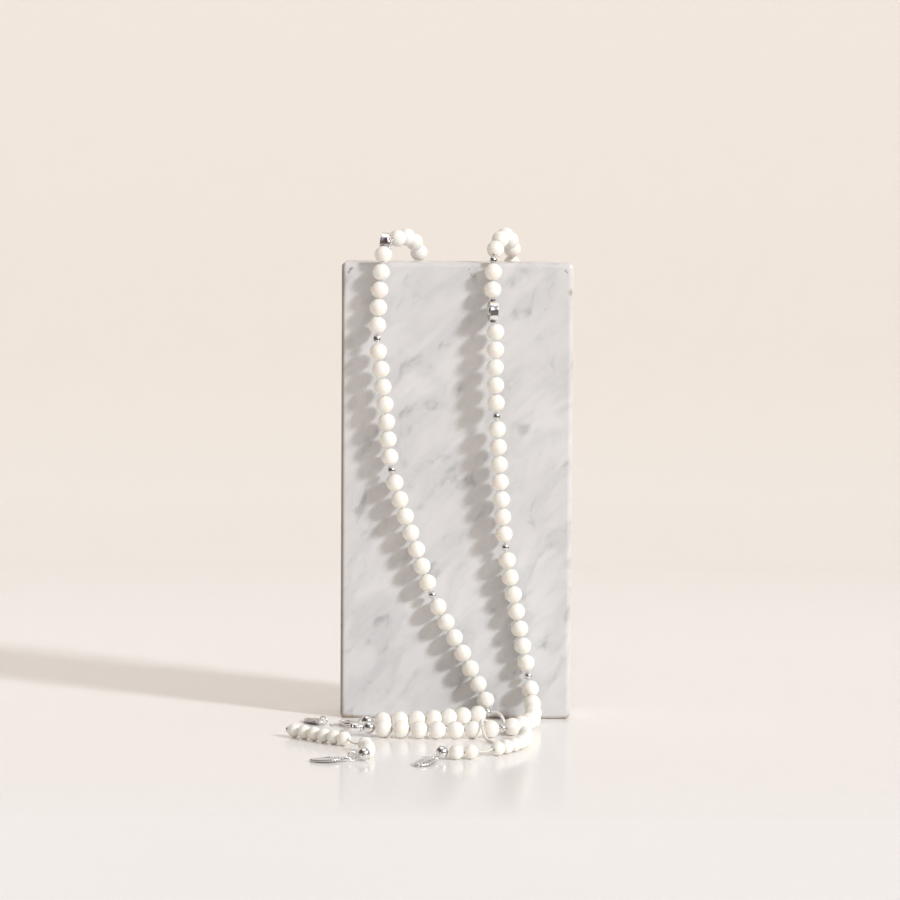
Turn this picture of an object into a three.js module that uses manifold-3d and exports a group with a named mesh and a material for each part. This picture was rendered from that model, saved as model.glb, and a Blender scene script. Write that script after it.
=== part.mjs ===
// Prayer beads draped over an upright marble block.
// Millimetres, +Z up. The origin is the centre of the block's underside, on the surface that the
// block stands on. -Y is the front. The loop of 99 beads goes over the top of the block: two
// strands come down its front and meet on the surface, and the rest hangs as a U down its back.
import * as THREE from 'three';
import { mergeVertices } from 'three/addons/utils/BufferGeometryUtils.js';
import { RoundedBoxGeometry } from 'three/addons/geometries/RoundedBoxGeometry.js';
import Module from 'manifold-3d';

const wasm = await Module();
wasm.setup();

// ---- driving dimensions ----------------------------------------------------------------------
const BLOCK = { width: 105, thickness: 30, height: 208, ease: 2 };
const BEAD = { diameter: 7.9, pitch: 8 };
const COUNTER_BEAD = { diameter: 6.3, pitch: 6.36 };
const BEAD_SIDES = 8;
const BEAD_HOLE_FACE = 2.2;
const STRING = { diameter: 1.2, sides: 4 };
const SPACER_BALL = { diameter: 3.6, sides: 8 };
const END_BALL = { diameter: 5.5, sides: 10 };
const BALL_BANDS = 6;
const COIN = { diameter: 9.4, thickness: 3.8, collar: 0.7, collarDiameter: 3, sides: 24 };
const COIN_BOSS = { diameter: 4.6, stand: 0.8, sides: 12 };
const RIGHT_COIN_TURN = 10;
// How far the left coin's thread turns from the last bead behind towards the first bead in front.
const LEFT_COIN_LEAN = 0.75;
const BARREL = { length: 6, diameter: 4.6, mouth: 2.6, sides: 12 };
const LEAF = { length: 15.5, width: 8.5, thickness: 1.3, ear: 2, hole: 1.15, sides: 14 };
const RING = { radius: 1.9, wire: 0.7, sides: 6, steps: 14 };
const CAP = { diameter: 3, length: 1.2, sides: 10 };
const THREAD = { diameter: 1, sides: 6, step: 2.5 };
const CHAIN = { diameter: 1.5, sides: 6, step: 3 };
const TIE = { diameter: 1.5, sides: 8, step: 3 };
const GAP = 0.25;
const STAND_OFF = 0.3;
const ROUTE_STEPS = 40;

// Bare thread between the two runs of beads of each counter string.
const BARE_LEFT = 11.2;
const BARE_RIGHT = 8.6;

// Heights of the centre lines of what lies on the surface, and the least distance of a strand's
// centre line from the block's faces.
const LYING = BEAD.diameter / 2;
const COUNTER_LYING = COUNTER_BEAD.diameter / 2;
const OFF_FACE = BEAD.diameter / 2 + STAND_OFF;
const BEHIND = -BLOCK.thickness - OFF_FACE;

// ---- materials -------------------------------------------------------------------------------
const MATERIALS = {
  bone: { color: '#f3ead9', roughness: 0.45, metalness: 0 },
  silver: { color: '#c9c8c6', roughness: 0.2, metalness: 1 },
  marble: { color: '#dcdbd9', roughness: 0.25, metalness: 0 },
  cord: { color: '#f4f1ea', roughness: 0.9, metalness: 0 },
};

const group = new THREE.Group();

function addMesh(name, geometry, material) {
  const mesh = new THREE.Mesh(geometry, new THREE.MeshStandardMaterial(MATERIALS[material]));
  mesh.name = name;
  group.add(mesh);
  return mesh;
}

// ---- solids ----------------------------------------------------------------------------------
function toSolid(geometry) {
  const bare = geometry.clone();
  bare.deleteAttribute('normal');
  bare.deleteAttribute('uv');
  const merged = mergeVertices(bare, 1e-4);
  return new wasm.Manifold(new wasm.Mesh({
    numProp: 3,
    vertProperties: new Float32Array(merged.attributes.position.array),
    triVerts: new Uint32Array(merged.index.array),
  }));
}

function toGeometry(solid) {
  const mesh = solid.getMesh();
  const geometry = new THREE.BufferGeometry();
  geometry.setAttribute('position', new THREE.BufferAttribute(mesh.vertProperties, 3));
  geometry.setIndex(new THREE.BufferAttribute(mesh.triVerts, 1));
  geometry.computeVertexNormals();
  return geometry;
}

function union(geometries) {
  const solids = geometries.map(toSolid);
  const whole = solids.slice(1).reduce((sum, solid) => sum.add(solid), solids[0]);
  return toGeometry(whole.asOriginal().simplify(0.002));
}

// ---- places ----------------------------------------------------------------------------------
// A place is given by x, its distance in front of the block's front face, and its height.
function place(x, front, height) {
  return new THREE.Vector3(x, -BLOCK.thickness / 2 - front, height);
}

// A direction across the axis in which a bead rests: down, or toward the block on an upright run.
function restDirection(axis) {
  const rest = Math.abs(axis.z) > 0.8 ? new THREE.Vector3(0, 1, 0) : new THREE.Vector3(0, 0, -1);
  return rest.addScaledVector(axis, -rest.dot(axis)).normalize();
}

// Turns a shape whose own axis is Y so that it lies along the axis, with its -X side at rest.
function alongAxis(geometry, centre, axis) {
  const side = restDirection(axis).negate();
  const across = new THREE.Vector3().crossVectors(side, axis);
  const turn = new THREE.Matrix4().makeBasis(side, axis, across).setPosition(centre);
  return geometry.clone().applyMatrix4(turn);
}

// A smooth route through the points, which never sinks below the given height.
function smoothRoute(points, lowest) {
  const curve = new THREE.CatmullRomCurve3(points, false, 'centripetal');
  const route = curve.getPoints((points.length - 1) * ROUTE_STEPS);
  return route.map((point) => point.setZ(Math.max(point.z, lowest)));
}

// Centres along a route, each at its own straight distance from the one before it.
function walk(route, distances) {
  const centres = [];
  let from = route[0];
  let i = 0;
  for (const distance of distances) {
    while (i < route.length - 2 && route[i + 1].distanceTo(from) < distance) i += 1;
    const start = route[i].clone().sub(from);
    const step = route[i + 1].clone().sub(route[i]);
    const a = step.dot(step);
    const b = start.dot(step);
    const c = start.dot(start) - distance * distance;
    from = route[i].clone().addScaledVector(step, (-b + Math.sqrt(b * b - a * c)) / a);
    centres.push(from);
  }
  return centres;
}

// ---- what is on the strings --------------------------------------------------------------------
const HALF = {
  bead: BEAD.diameter / 2,
  smallBead: COUNTER_BEAD.diameter / 2,
  ball: SPACER_BALL.diameter / 2,
  endBall: END_BALL.diameter / 2,
  coin: COIN.diameter / 2 + COIN.collar,
  cap: CAP.length / 2,
};

// The straight distance between the centres of two neighbours on a string.
function spacing(before, after) {
  if (before === 'bead' && after === 'bead') return BEAD.pitch;
  if (before === 'smallBead' && after === 'smallBead') return COUNTER_BEAD.pitch;
  return HALF[before] + GAP + HALF[after];
}

// A string is a first piece, then runs of beads with one other piece after each run.
function stringKinds(first, runs, bead, between, last) {
  const kinds = [first];
  runs.forEach((count, i) => {
    kinds.push(...Array(count).fill(bead));
    kinds.push(i < runs.length - 1 ? between : last);
  });
  return kinds;
}

function spacings(kinds) {
  return kinds.slice(1).map((kind, i) => spacing(kinds[i], kind));
}

// Centres and thread directions of all the pieces of a string, the first one included.
function string(route, kinds, distances) {
  const centres = [route[0], ...walk(route, distances)];
  return kinds.map((kind, i) => {
    const before = centres[Math.max(i - 1, 0)];
    const after = centres[Math.min(i + 1, centres.length - 1)];
    return { kind, centre: centres[i], axis: after.clone().sub(before).normalize() };
  });
}

// A round bead, turned about its thread, with a small flat face around each mouth of its hole.
function beadGeometry(diameter) {
  const radius = diameter / 2;
  const face = BEAD_HOLE_FACE / 2;
  const faceHeight = Math.sqrt(radius ** 2 - face ** 2);
  const shoulder = radius * Math.SQRT1_2;
  const profile = [
    [0, -faceHeight], [face, -faceHeight], [shoulder, -shoulder], [radius, 0],
    [shoulder, shoulder], [face, faceHeight], [0, faceHeight],
  ].map(([across, along]) => new THREE.Vector2(across, along));
  return new THREE.LatheGeometry(profile, BEAD_SIDES, Math.PI / 2);
}

const beadShape = beadGeometry(BEAD.diameter);
const smallBeadShape = beadGeometry(COUNTER_BEAD.diameter);
const stringShape = new THREE.CylinderGeometry(
  STRING.diameter / 2, STRING.diameter / 2, 1, STRING.sides);

function stringBetween(from, to) {
  const axis = to.clone().sub(from);
  const length = axis.length();
  const middle = from.clone().lerp(to, 0.5);
  return alongAxis(stringShape.clone().scale(1, length, 1), middle, axis.normalize());
}

// One run of beads, joined along their string in one solid.
function beadRun(name, beads) {
  const shape = beads[0].kind === 'bead' ? beadShape : smallBeadShape;
  const solids = beads.map((bead) => alongAxis(shape, bead.centre, bead.axis));
  for (let i = 1; i < beads.length; i += 1) {
    solids.push(stringBetween(beads[i - 1].centre, beads[i].centre));
  }
  addMesh(name, union(solids), 'bone');
}

function ball(name, piece, { diameter, sides }) {
  const shape = new THREE.SphereGeometry(diameter / 2, sides, BALL_BANDS);
  addMesh(name, alongAxis(shape, piece.centre, piece.axis), 'silver');
}

// A thick disc threaded through its diameter, with a low collar where the thread goes in and out
// and a raised middle on each face. Its faces look left and right.
function coin(name, piece, turnDegrees = 0) {
  const disc = new THREE.CylinderGeometry(
    COIN.diameter / 2, COIN.diameter / 2, COIN.thickness, COIN.sides).rotateZ(Math.PI / 2);
  const bosses = new THREE.CylinderGeometry(
    COIN_BOSS.diameter / 2, COIN_BOSS.diameter / 2, COIN.thickness + 2 * COIN_BOSS.stand,
    COIN_BOSS.sides).rotateZ(Math.PI / 2);
  const collars = new THREE.CylinderGeometry(
    COIN.collarDiameter / 2, COIN.collarDiameter / 2, 2 * HALF.coin, COIN.sides / 2);
  const turnAngle = THREE.MathUtils.degToRad(turnDegrees);
  const face = new THREE.Vector3(Math.cos(turnAngle), Math.sin(turnAngle), 0);
  face.addScaledVector(piece.axis, -face.dot(piece.axis)).normalize();
  const across = new THREE.Vector3().crossVectors(face, piece.axis);
  const turn = new THREE.Matrix4().makeBasis(face, piece.axis, across).setPosition(piece.centre);
  addMesh(name, union([disc, bosses, collars]).applyMatrix4(turn), 'silver');
}

// Splits a string into its runs of beads, and hands each other piece to the matching maker.
function addString(pieces, beadNames, makers) {
  let run = [];
  const names = [...beadNames];
  for (const piece of pieces) {
    const isBead = piece.kind === 'bead' || piece.kind === 'smallBead';
    if (isBead) run.push(piece);
    if (!isBead && run.length > 0) {
      beadRun(names.shift(), run);
      run = [];
    }
    if (!isBead && makers[piece.kind]) makers[piece.kind](piece);
  }
}

function ballMaker(prefix) {
  let count = 0;
  return (piece) => {
    count += 1;
    ball(`${prefix}_${count}`, piece, SPACER_BALL);
  };
}

function numbered(prefix, count) {
  return Array.from({ length: count }, (_, i) => `${prefix}_${i + 1}`);
}

// ---- the block -------------------------------------------------------------------------------
const blockShape = new RoundedBoxGeometry(
  BLOCK.width, BLOCK.thickness, BLOCK.height, 1, BLOCK.ease);
addMesh('marble_block', blockShape.translate(0, 0, BLOCK.height / 2), 'marble');

// ---- the routes ------------------------------------------------------------------------------
// Columns: x, distance in front of the block's front face, height. Both strands hang plumb from
// where they come over the edge, so they stand off the face in their upper half and meet it lower.
const COIN_LEFT = [-32.6, -4.5, 216.9];
const COIN_RIGHT = [15.9, 6.2, 186.6];

const LEFT_ROUTE = [
  COIN_LEFT,
  [-33.6, 3.4, 211.6],
  [-34.6, 4.9, 203.5],
  [-35.7, 6.2, 187],
  [-36.2, 7.3, 173.5],
  [-34.4, 7.8, 160],
  [-32.4, 7.4, 143],
  [-29.2, 6.1, 113.8],
  [-23.2, 5.7, 93.5],
  [-17.9, 5.3, 78],
  [-10.8, 4.8, 57.8],
  [3.1, 4.4, 31],
  [10.2, OFF_FACE, 17],
  [13.6, 4.7, 10],
  [15.3, 7, 5],
  [11.2, 11.6, LYING],
  [4.5, 16, LYING],
  [-9, 25, LYING],
  [-16.5, 28, LYING],
  [-31.6, 32.7, LYING],
  [-38.3, 34.2, LYING],
  [-46, 36, LYING],
];

const RIGHT_ROUTE = [
  COIN_RIGHT,
  [17.2, 7.4, 177.2],
  [17.1, 8.5, 161.5],
  [17.8, 8.3, 142],
  [20.1, 7.2, 105],
  [22.3, 5.8, 79.8],
  [28, 4.5, 48],
  [32.9, OFF_FACE, 21.9],
  [33.9, 4.6, 16.2],
  [34.8, 9.2, 9.8],
  [35.2, 16.4, 6.2],
  [34.9, 24.2, LYING],
  [33.2, 32, LYING],
  [30.2, 39.5, LYING],
  [26.3, 46.6, LYING],
  [22, 50.8, LYING],
  [16.9, 54.2, LYING],
  [9.2, 56.6, LYING],
  [-6.6, 58.8, LYING],
  [-22.5, 57.4, LYING],
  [-30.3, 55.4, LYING],
  [-37, 53, LYING],
  [-46, 50, LYING],
];

// Up from the right coin, over the top edge and down the back.
const OVER_RIGHT = [
  COIN_RIGHT,
  [15.8, 5.2, 196.4],
  [16, 4.4, 204.4],
  [16.2, 1.4, 209.8],
  [17.1, -2.2, 214.5],
  [19.4, -9, 218.6],
  [21.8, -16.4, 219.8],
  [24, -23.6, 217.6],
  [25.1, -30.4, 213],
  [25, BEHIND, 206],
];

// Up the back, over the top and forward to the left coin.
const OVER_LEFT = [
  [-17, BEHIND, 204.2],
  [-17.9, -32, 211.8],
  [-19.9, -26, 216.6],
  [-23.4, -19.2, 219],
  [-27.6, -12.4, 218.6],
  COIN_LEFT,
];

// The hidden stretch hangs as a plain U between the two ends of its legs.
const U_RIGHT = 25;
const U_LEFT = -17;
const U_STEPS = 6;

function backRoute(bottom) {
  const radius = (U_RIGHT - U_LEFT) / 2;
  const middle = (U_RIGHT + U_LEFT) / 2;
  const points = OVER_RIGHT.map((point) => place(...point));
  for (let i = 0; i <= U_STEPS; i += 1) {
    const angle = (Math.PI * i) / U_STEPS;
    points.push(place(
      middle + radius * Math.cos(angle), BEHIND, bottom + radius - radius * Math.sin(angle)));
  }
  points.push(...OVER_LEFT.map((point) => place(...point)));
  return smoothRoute(points, LYING);
}

function sideRoute(table) {
  return smoothRoute(table.map((point) => place(...point)), LYING);
}

// ---- the main loop ---------------------------------------------------------------------------
// 33 beads on each side of the ends and 33 between the two coins.
const SIDE_RUNS = [5, 7, 7, 7, 7];
const BACK_RUNS = [2, 7, 7, 7, 5, 5];

const sideKinds = stringKinds('coin', SIDE_RUNS, 'bead', 'ball', 'endBall');
const backKinds = stringKinds('coin', BACK_RUNS, 'bead', 'ball', 'coin');
const backSpacings = spacings(backKinds);

// The U is as deep as the beads between the coins make it: the last distance closes the loop.
const U_RANGE = [60, 180];
const HALVINGS = 40;

function fittedBottom() {
  const target = place(...COIN_LEFT);
  const closing = backSpacings[backSpacings.length - 1];
  let [low, high] = U_RANGE;
  for (let i = 0; i < HALVINGS; i += 1) {
    const bottom = (low + high) / 2;
    const last = walk(backRoute(bottom), backSpacings.slice(0, -1)).pop();
    const short = last.distanceTo(target) > closing && last.y > target.y;
    if (short) low = bottom;
    else high = bottom;
  }
  return (low + high) / 2;
}

const leftString = string(sideRoute(LEFT_ROUTE), sideKinds, spacings(sideKinds));
const rightString = string(sideRoute(RIGHT_ROUTE), sideKinds, spacings(sideKinds));
const backString = string(backRoute(fittedBottom()), backKinds, backSpacings);

addString(leftString, numbered('beads_left', SIDE_RUNS.length), {
  ball: ballMaker('silver_ball_left'),
  endBall: (piece) => ball('end_ball_left', piece, END_BALL),
});
addString(rightString, numbered('beads_right', SIDE_RUNS.length), {
  ball: ballMaker('silver_ball_right'),
  endBall: (piece) => ball('end_ball_right', piece, END_BALL),
});
addString(backString, numbered('beads_back', BACK_RUNS.length), {
  ball: ballMaker('silver_ball_back'),
});
coin('coin_right', backString[0], RIGHT_COIN_TURN);
const leftCoin = backString[backString.length - 1];
leftCoin.axis.lerp(leftString[0].axis, LEFT_COIN_LEAN).normalize();
coin('coin_left', leftCoin);

// ---- small round pieces ------------------------------------------------------------------------
// A tube with a round section along a route.
function tube(name, points, { diameter, sides, step }, material) {
  const path = new THREE.CatmullRomCurve3(points, false, 'centripetal');
  const section = new THREE.Shape();
  for (let i = 0; i < sides; i += 1) {
    const angle = (2 * Math.PI * i) / sides;
    const method = i === 0 ? 'moveTo' : 'lineTo';
    section[method]((diameter / 2) * Math.cos(angle), (diameter / 2) * Math.sin(angle));
  }
  const steps = Math.max(2, Math.round(path.getLength() / step));
  addMesh(name, new THREE.ExtrudeGeometry(
    section, { steps, bevelEnabled: false, extrudePath: path }), material);
}

// A barrel that lies along the axis, turned as a lathe shape.
function barrel(name, centre, axis) {
  const profile = [
    new THREE.Vector2(0, -BARREL.length / 2),
    new THREE.Vector2(BARREL.mouth / 2, -BARREL.length / 2),
    new THREE.Vector2(BARREL.diameter / 2, -BARREL.length / 4),
    new THREE.Vector2(BARREL.diameter / 2, BARREL.length / 4),
    new THREE.Vector2(BARREL.mouth / 2, BARREL.length / 2),
    new THREE.Vector2(0, BARREL.length / 2),
  ];
  addMesh(name, alongAxis(new THREE.LatheGeometry(profile, BARREL.sides), centre, axis), 'silver');
}

// ---- leaf charms -------------------------------------------------------------------------------
// A pointed leaf bounded by two equal arcs, with a round ear at its root that the ring goes through.
// Its root is at the origin, it points along +X, and its underside is at height 0.
function leafGeometry() {
  const half = LEAF.width / 2;
  const radius = ((LEAF.length / 2) ** 2 + half ** 2) / (2 * half);
  const reach = Math.asin(LEAF.length / 2 / radius);
  const blade = new THREE.Shape();
  const middle = LEAF.ear / 2 + LEAF.length / 2;
  blade.absarc(middle, half - radius, radius, Math.PI / 2 + reach, Math.PI / 2 - reach, true);
  blade.absarc(middle, radius - half, radius, -Math.PI / 2 + reach, -Math.PI / 2 - reach, true);
  const flat = { depth: LEAF.thickness, bevelEnabled: false, curveSegments: LEAF.sides / 2 };
  const bladeSolid = toSolid(new THREE.ExtrudeGeometry(blade, flat));
  const rod = (diameter, height) => toSolid(
    new THREE.CylinderGeometry(diameter / 2, diameter / 2, height, LEAF.sides)
      .rotateX(Math.PI / 2).translate(0, 0, LEAF.thickness / 2));
  const whole = bladeSolid.add(rod(2 * LEAF.ear, LEAF.thickness));
  return toGeometry(whole.subtract(rod(2 * LEAF.hole, LEAF.thickness * 3)));
}

// A jump ring on edge and the leaf that hangs on it, laid out from a ball or a chain's end.
// The ring's wire passes through the leaf's ear below the ring's middle, which lifts the ear.
const CLEAR_OF_SURFACE = 0.1;
const RING_LIFT = RING.radius + RING.wire / 2 + CLEAR_OF_SURFACE;
const EAR_HEIGHT = 1.6;
const TIP_LIFT = 0.02;
const EAR_REACH = Math.sqrt(RING.radius ** 2 - (RING_LIFT - EAR_HEIGHT) ** 2);

function ringAndLeaf(prefix, anchor, anchorRadius, heading, leafHeading) {
  const direction = new THREE.Vector3(Math.cos(heading), Math.sin(heading), 0);
  const ringCentre = anchor.clone().setZ(RING_LIFT).addScaledVector(
    direction, anchorRadius + GAP + RING.radius + RING.wire / 2);
  const ring = new THREE.TorusGeometry(RING.radius, RING.wire / 2, RING.sides, RING.steps);
  ring.rotateX(Math.PI / 2).rotateZ(heading);
  addMesh(`${prefix}_ring`, ring.translate(...ringCentre), 'silver');

  const ear = ringCentre.clone().addScaledVector(direction, EAR_REACH);
  ear.z = EAR_HEIGHT - LEAF.thickness / 2;
  const droop = Math.asin((ear.z - TIP_LIFT) / (LEAF.ear / 2 + LEAF.length));
  const leaf = leafGeometry().rotateY(droop).rotateZ(leafHeading);
  addMesh(`${prefix}_leaf`, leaf.translate(...ear), 'silver');
  return ringCentre;
}

// ---- the end piece that closes the loop --------------------------------------------------------
const endLeft = leftString[leftString.length - 1].centre;
const endRight = rightString[rightString.length - 1].centre;
const barrelCentre = endRight.clone().add(
  new THREE.Vector3(-(END_BALL.diameter + BARREL.length) / 2 - GAP, 0, 0));
barrel('end_barrel', barrelCentre, new THREE.Vector3(-1, 0, 0));
tube('end_thread', [
  barrelCentre.clone().add(new THREE.Vector3(-BARREL.length / 2 - GAP, 0, 0)),
  barrelCentre.clone().add(new THREE.Vector3(-BARREL.length / 2 - 1.6, 0.3, -0.3)),
  place(-48.8, 46, 2.6),
  place(-46.5, 40.5, 2.6),
  endLeft.clone().add(new THREE.Vector3(-2.8, -2.6, -0.4)),
], THREAD, 'cord');

// ---- the charm tail ----------------------------------------------------------------------------
const degrees = Math.PI / 180;
const tailRing = ringAndLeaf(
  'tail_plain', endLeft, END_BALL.diameter / 2, 123 * degrees, 123 * degrees);
const CHAIN_HEIGHT = CHAIN.diameter / 2 + 0.05;
const tailChain = [
  tailRing.clone().add(new THREE.Vector3(-2.4, -1.6, CHAIN_HEIGHT - tailRing.z)),
  place(-48, 29.5, CHAIN_HEIGHT),
  place(-53, 27, CHAIN_HEIGHT),
  place(-57, 25, CHAIN_HEIGHT),
];
tube('tail_chain', tailChain, CHAIN, 'silver');
ringAndLeaf('tail_textured', tailChain[3], 0.2, 150 * degrees, 112 * degrees);

// ---- the counter strings -----------------------------------------------------------------------
// Columns: x, distance in front of the block's front face. All lies at one height.
const LEFT_COUNTER_ROUTE = [
  [-73.8, 54],
  [-66, 61.6],
  [-57, 70.8],
  [-47.7, 80],
  [-41.8, 87],
  [-38.6, 95],
  [-37.5, 104],
  [-37.4, 114],
  [-39.8, 120.6],
  [-45, 125],
];
const RIGHT_COUNTER_ROUTE = [
  [31, 61.5],
  [30.9, 74],
  [27.6, 88],
  [19, 102],
  [12, 109],
  [5.7, 112.6],
  [-1, 113.6],
  [-7.5, 113],
  [-14, 112],
];

function counterRoute(table) {
  const points = table.map(([x, front]) => place(x, front, COUNTER_LYING));
  return smoothRoute(points, COUNTER_LYING);
}

// Bare thread between two neighbouring beads, which sags halfway.
const SAG = 0.8;

function bareThread(name, before, after) {
  const between = before.centre.clone().lerp(after.centre, 0.5).setZ(COUNTER_LYING - SAG);
  const clear = COUNTER_BEAD.diameter / 2 + GAP;
  const start = before.centre.clone().addScaledVector(before.axis, clear);
  const end = after.centre.clone().addScaledVector(after.axis, -clear);
  tube(name, [start, between, end], THREAD, 'cord');
}

function counter(prefix, table, first, runs, bare, headings) {
  const kinds = [...first, ...Array(runs[0] + runs[1]).fill('smallBead'), 'endBall'];
  const distances = spacings(kinds);
  const split = first.length + runs[0];
  distances[split - 1] = COUNTER_BEAD.diameter + bare;
  const pieces = string(counterRoute(table), kinds, distances);
  beadRun(`${prefix}_beads_1`, pieces.slice(first.length, split));
  beadRun(`${prefix}_beads_2`, pieces.slice(split, split + runs[1]));
  bareThread(`${prefix}_thread`, pieces[split - 1], pieces[split]);
  const end = pieces[pieces.length - 1];
  ball(`${prefix}_ball`, end, END_BALL);
  ringAndLeaf(prefix, end.centre, END_BALL.diameter / 2, headings[0], headings[1]);
  return pieces;
}

const leftCounter = counter('counter_left', LEFT_COUNTER_ROUTE, ['cap'], [6, 4], BARE_LEFT,
  [200 * degrees, 182 * degrees]);
counter('counter_right', RIGHT_COUNTER_ROUTE, [], [8, 2], BARE_RIGHT,
  [245 * degrees, 243 * degrees]);
addMesh('counter_left_cap', alongAxis(
  new THREE.CylinderGeometry(CAP.diameter / 2, CAP.diameter / 2, CAP.length, CAP.sides),
  leftCounter[0].centre, leftCounter[0].axis), 'silver');

// ---- the tie cord ------------------------------------------------------------------------------
// Columns: x, distance in front of the block's front face, height.
const TIE_ROUTE = [
  [16.8, 8.6, 4.5],
  [18.3, 9.3, 4.5],
  [19.7, 10.6, 4.2],
  [20.9, 12.8, 3.4],
  [21.8, 16, 2.2],
  [22.4, 20.5, 1.2],
  [22.7, 26, 0.84],
  [22.7, 32, 0.82],
  [22.4, 37, 0.82],
  [21.9, 41, 1],
  [21, 44.2, 1.9],
  [19.8, 46.7, 3.3],
  [18.1, 48.3, 4.5],
  [16.1, 49.3, 5.5],
  [14.2, 50.4, 6.5],
  [12.6, 52.5, 7.4],
  [11.9, 55.6, 7.7],
  [11.9, 58.6, 7],
  [12.2, 61, 5],
  [12.9, 63.3, 2.7],
  [13.9, 65.8, 1.25],
  [15.4, 69, 0.84],
  [17, 71.6, 0.82],
];
tube('tie_cord', TIE_ROUTE.map((point) => place(...point)), TIE, 'cord');

export default group;
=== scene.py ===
"""Prayer beads draped over an upright marble block.

Metres, +Z up, the origin under the middle of the block, -Y the front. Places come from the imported
frame: a run of beads is made again bead by bead, at the centres of its CAD beads. Only the tie
cord's route is written out.
"""
import math
from collections import namedtuple

import bmesh
import bpy
import numpy as np
from mathutils import Euler, Matrix, Quaternion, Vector
from numpy.linalg import norm


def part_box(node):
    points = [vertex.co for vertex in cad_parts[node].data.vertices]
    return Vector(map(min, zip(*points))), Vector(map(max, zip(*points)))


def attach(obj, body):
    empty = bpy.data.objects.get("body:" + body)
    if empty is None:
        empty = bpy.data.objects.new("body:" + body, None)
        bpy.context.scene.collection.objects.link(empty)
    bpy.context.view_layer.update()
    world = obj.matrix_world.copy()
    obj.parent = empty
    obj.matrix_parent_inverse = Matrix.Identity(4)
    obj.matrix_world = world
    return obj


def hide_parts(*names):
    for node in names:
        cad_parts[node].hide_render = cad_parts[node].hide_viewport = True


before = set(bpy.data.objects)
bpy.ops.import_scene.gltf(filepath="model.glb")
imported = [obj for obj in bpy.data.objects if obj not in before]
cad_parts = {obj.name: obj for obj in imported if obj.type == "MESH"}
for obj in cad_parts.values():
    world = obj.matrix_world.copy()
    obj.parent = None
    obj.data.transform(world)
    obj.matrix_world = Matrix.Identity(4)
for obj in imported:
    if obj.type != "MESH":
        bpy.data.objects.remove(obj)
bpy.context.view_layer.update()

MM = 0.001
FULL_TURN = 2 * math.pi
rng = np.random.default_rng(33)


def box_of(node):
    return [np.array(corner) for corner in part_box(node)]


block_low, block_high = box_of("marble_block")


def place(x, front, height):
    """A point from millimetres: x, distance in front of the block's front face, and height."""
    return np.array([x * MM, block_low[1] - front * MM, height * MM])


# ---- camera ----
CAMERA_PLACE = place(-3, 1690, 262)
CAMERA_DIP = math.radians(4.7)
CAMERA_ROLL = math.radians(0.34)
SENSOR_WIDTH = 36
FOCAL_LENGTH = 149.4


def add_object(name, data):
    added = bpy.data.objects.new(name, data)
    bpy.context.scene.collection.objects.link(added)
    return added


def make_camera():
    data = bpy.data.cameras.new("camera")
    data.sensor_width = SENSOR_WIDTH
    data.lens = FOCAL_LENGTH
    data.clip_start = 0.05
    data.clip_end = 50
    camera = add_object("camera", data)
    camera.location = CAMERA_PLACE
    level = Euler((math.pi / 2 - CAMERA_DIP, 0, 0)).to_quaternion()
    camera.rotation_mode = "QUATERNION"
    camera.rotation_quaternion = level @ Quaternion((0, 0, 1), CAMERA_ROLL)
    bpy.context.scene.camera = camera


make_camera()


# ---- shapes ----
# A shape is an array of vertices, a list of faces, and one number for each vertex that says how
# deep it lies below the shape's raised parts, from 0 to 1.
Shape = namedtuple("Shape", "vertices faces recess")

SAME_PLACE = 0.0001 * MM
# The width of a tube's rounded end, and how far it stands out, as shares of the tube's radius.
END_WIDTH = 0.6
END_BULGE = 0.5
# A direction that no tube starts along, from which the first ring's sides are worked out.
ASKEW = (0.3, 0.2, 0.93)


def unit(vector):
    return vector / norm(vector)


def circle(count):
    """That many angles, evenly round a full turn."""
    return np.linspace(0, FULL_TURN, count, endpoint=False)


def shape(vertices, faces, recess=None):
    vertices = np.asarray(vertices, float)
    recess = np.zeros(len(vertices)) if recess is None else np.asarray(recess, float)
    return Shape(vertices, [tuple(int(i) for i in face) for face in faces], recess)


def moved(part, turn=np.eye(3), to=(0, 0, 0)):
    """The shape turned by a matrix whose columns are its new axes, and then moved."""
    return Shape(part.vertices @ np.asarray(turn).T + np.asarray(to), part.faces, part.recess)


def joined(parts):
    faces = []
    count = 0
    for part in parts:
        faces += [tuple(i + count for i in face) for face in part.faces]
        count += len(part.vertices)
    vertices = np.vstack([part.vertices for part in parts])
    return Shape(vertices, faces, np.concatenate([part.recess for part in parts]))


def add_piece(name, part, material, nodes=(), attributes=None, smooth_angle=40):
    """A mesh object of the shape that rides on the root body and stands for the CAD nodes. Edges
    up to the smooth angle, in degrees, are shaded round."""
    mesh = bpy.data.meshes.new(name)
    mesh.from_pydata(part.vertices.tolist(), [], part.faces)
    columns = {"recess": part.recess, **(attributes or {})}
    for key, values in columns.items():
        values = np.asarray(values, np.float32)
        kind = "FLOAT" if values.ndim == 1 else "FLOAT_VECTOR"
        stored = mesh.attributes.new(key, kind, "POINT")
        stored.data.foreach_set("value" if kind == "FLOAT" else "vector", values.ravel())
    clean = bmesh.new()
    clean.from_mesh(mesh)
    bmesh.ops.remove_doubles(clean, verts=clean.verts, dist=SAME_PLACE)
    bmesh.ops.recalc_face_normals(clean, faces=clean.faces)
    for face in clean.faces:
        face.smooth = True
    for edge in clean.edges:
        if len(edge.link_faces) == 2:
            edge.smooth = edge.calc_face_angle(0) < math.radians(smooth_angle)
    clean.to_mesh(mesh)
    clean.free()
    mesh.materials.append(material)
    piece = add_object(name, mesh)
    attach(piece, "root")
    if nodes:
        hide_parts(*nodes)
    return piece


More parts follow.
